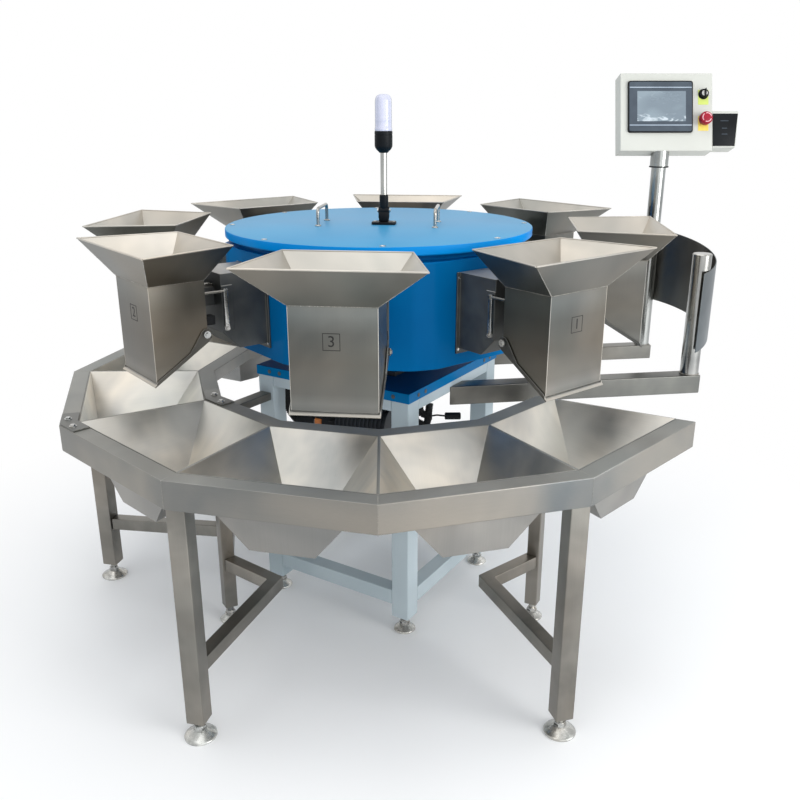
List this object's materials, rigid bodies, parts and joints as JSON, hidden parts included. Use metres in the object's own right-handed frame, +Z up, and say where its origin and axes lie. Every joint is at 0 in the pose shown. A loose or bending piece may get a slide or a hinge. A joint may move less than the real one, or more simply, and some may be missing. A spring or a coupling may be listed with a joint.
{
  "type": "weight grading machine",
  "caption": "Carousel grader: weighing hoppers ride round a turning drum and drop items into the sloped chutes of a ring table; a loading bay with guard and screen stands at one side.",
  "frame": {"origin": "on the floor, on the drum's axis of rotation", "axes": "+Z up along the drum axis, -Y towards the front, +X towards the loading bay and control screen"},
  "size_m": [2.2096, 2, 1.6774],
  "materials": {
    "stainless": "brushed stainless steel",
    "frame_paint": "light grey-blue paint",
    "cover_blue": "satin mid-blue paint",
    "drum_blue": "satin blue paint",
    "machine_grey": "dark machinery enamel",
    "black_plastic": "matt black plastic",
    "red_plastic": "glossy red plastic",
    "lamp_clear": "frosted clear plastic",
    "screen": "display glass behind a film"
  },
  "bodies": {
    "stand": {"front_rail": "stainless", "rear_rail": "stainless", "front_inner_bar": "stainless", "rear_inner_bar": "stainless", "front_chutes": "stainless", "rear_chutes": "stainless", "table_legs": "stainless", "levelling_feet": "stainless", "leg_braces": "stainless", "splice_plates": "stainless", "tie_bar": "stainless", "frame_posts": "frame_paint", "frame_rails": "frame_paint", "base_cover": "cover_blue", "drive_unit": "machine_grey", "bearing_post": "machine_grey", "bay_arms": "stainless", "guard_post": "stainless", "guard_sheet": "stainless", "screen_post": "stainless", "control_box": "stainless", "screen_panel": "black_plastic", "screen_glass": "screen", "label_printer": "black_plastic"},
    "rotor": {"drum_shell": "drum_blue", "drum_lid": "drum_blue", "lid_handles": "stainless", "lamp_stem": "stainless", "lamp_socket": "black_plastic", "lamp_dome": "lamp_clear", "weigh_brackets": "stainless", "link_bars": "stainless", "buffer_blocks": "black_plastic", "hoppers": "stainless", "hinge_pins": "stainless"},
    "flap_1": {"flap_1": "stainless"},
    "flap_2": {"flap_2": "stainless"},
    "flap_3": {"flap_3": "stainless"},
    "flap_4": {"flap_4": "stainless"},
    "flap_5": {"flap_5": "stainless"},
    "flap_6": {"flap_6": "stainless"},
    "flap_7": {"flap_7": "stainless"},
    "flap_8": {"flap_8": "stainless"},
    "stop_button": {"stop_button": "red_plastic"},
    "key_switch": {"key_switch": "black_plastic"}
  },
  "joints": [
    {"name": "drum_spin", "type": "hinge", "parent": "stand", "child": "rotor", "pos_m": [0, 0, 0.9], "axis": [0, 0, 1], "continuous": true},
    {"name": "flap_1_hinge", "type": "hinge", "parent": "rotor", "child": "flap_1", "pos_m": [-0.08222, -0.65083, 1.003], "axis": [0.9921, -0.1253, 0], "range_deg": [0, 50]},
    {"name": "flap_2_hinge", "type": "hinge", "parent": "rotor", "child": "flap_2", "pos_m": [0.40207, -0.51834, 1.003], "axis": [0.7902, 0.6129, 0], "range_deg": [0, 50]},
    {"name": "flap_3_hinge", "type": "hinge", "parent": "rotor", "child": "flap_3", "pos_m": [0.65083, -0.08222, 1.003], "axis": [0.1253, 0.9921, 0], "range_deg": [0, 50]},
    {"name": "flap_4_hinge", "type": "hinge", "parent": "rotor", "child": "flap_4", "pos_m": [0.51834, 0.40207, 1.003], "axis": [-0.6129, 0.7902, 0], "range_deg": [0, 50]},
    {"name": "flap_5_hinge", "type": "hinge", "parent": "rotor", "child": "flap_5", "pos_m": [0.08222, 0.65083, 1.003], "axis": [-0.9921, 0.1253, 0], "range_deg": [0, 50]},
    {"name": "flap_6_hinge", "type": "hinge", "parent": "rotor", "child": "flap_6", "pos_m": [-0.40207, 0.51834, 1.003], "axis": [-0.7902, -0.6129, 0], "range_deg": [0, 50]},
    {"name": "flap_7_hinge", "type": "hinge", "parent": "rotor", "child": "flap_7", "pos_m": [-0.65083, 0.08222, 1.003], "axis": [-0.1253, -0.9921, 0], "range_deg": [0, 50]},
    {"name": "flap_8_hinge", "type": "hinge", "parent": "rotor", "child": "flap_8", "pos_m": [-0.51834, -0.40207, 1.003], "axis": [0.6129, -0.7902, 0], "range_deg": [0, 50]},
    {"name": "stop_press", "type": "slide", "parent": "stand", "child": "stop_button", "axis": [0, 0.9511, -0.309], "range_m": [0, 0.005]},
    {"name": "key_turn", "type": "hinge", "parent": "stand", "child": "key_switch", "pos_m": [1.08711, 0.34061, 1.61115], "axis": [0, -0.9511, 0.309], "range_deg": [0, 90]}
  ]
}
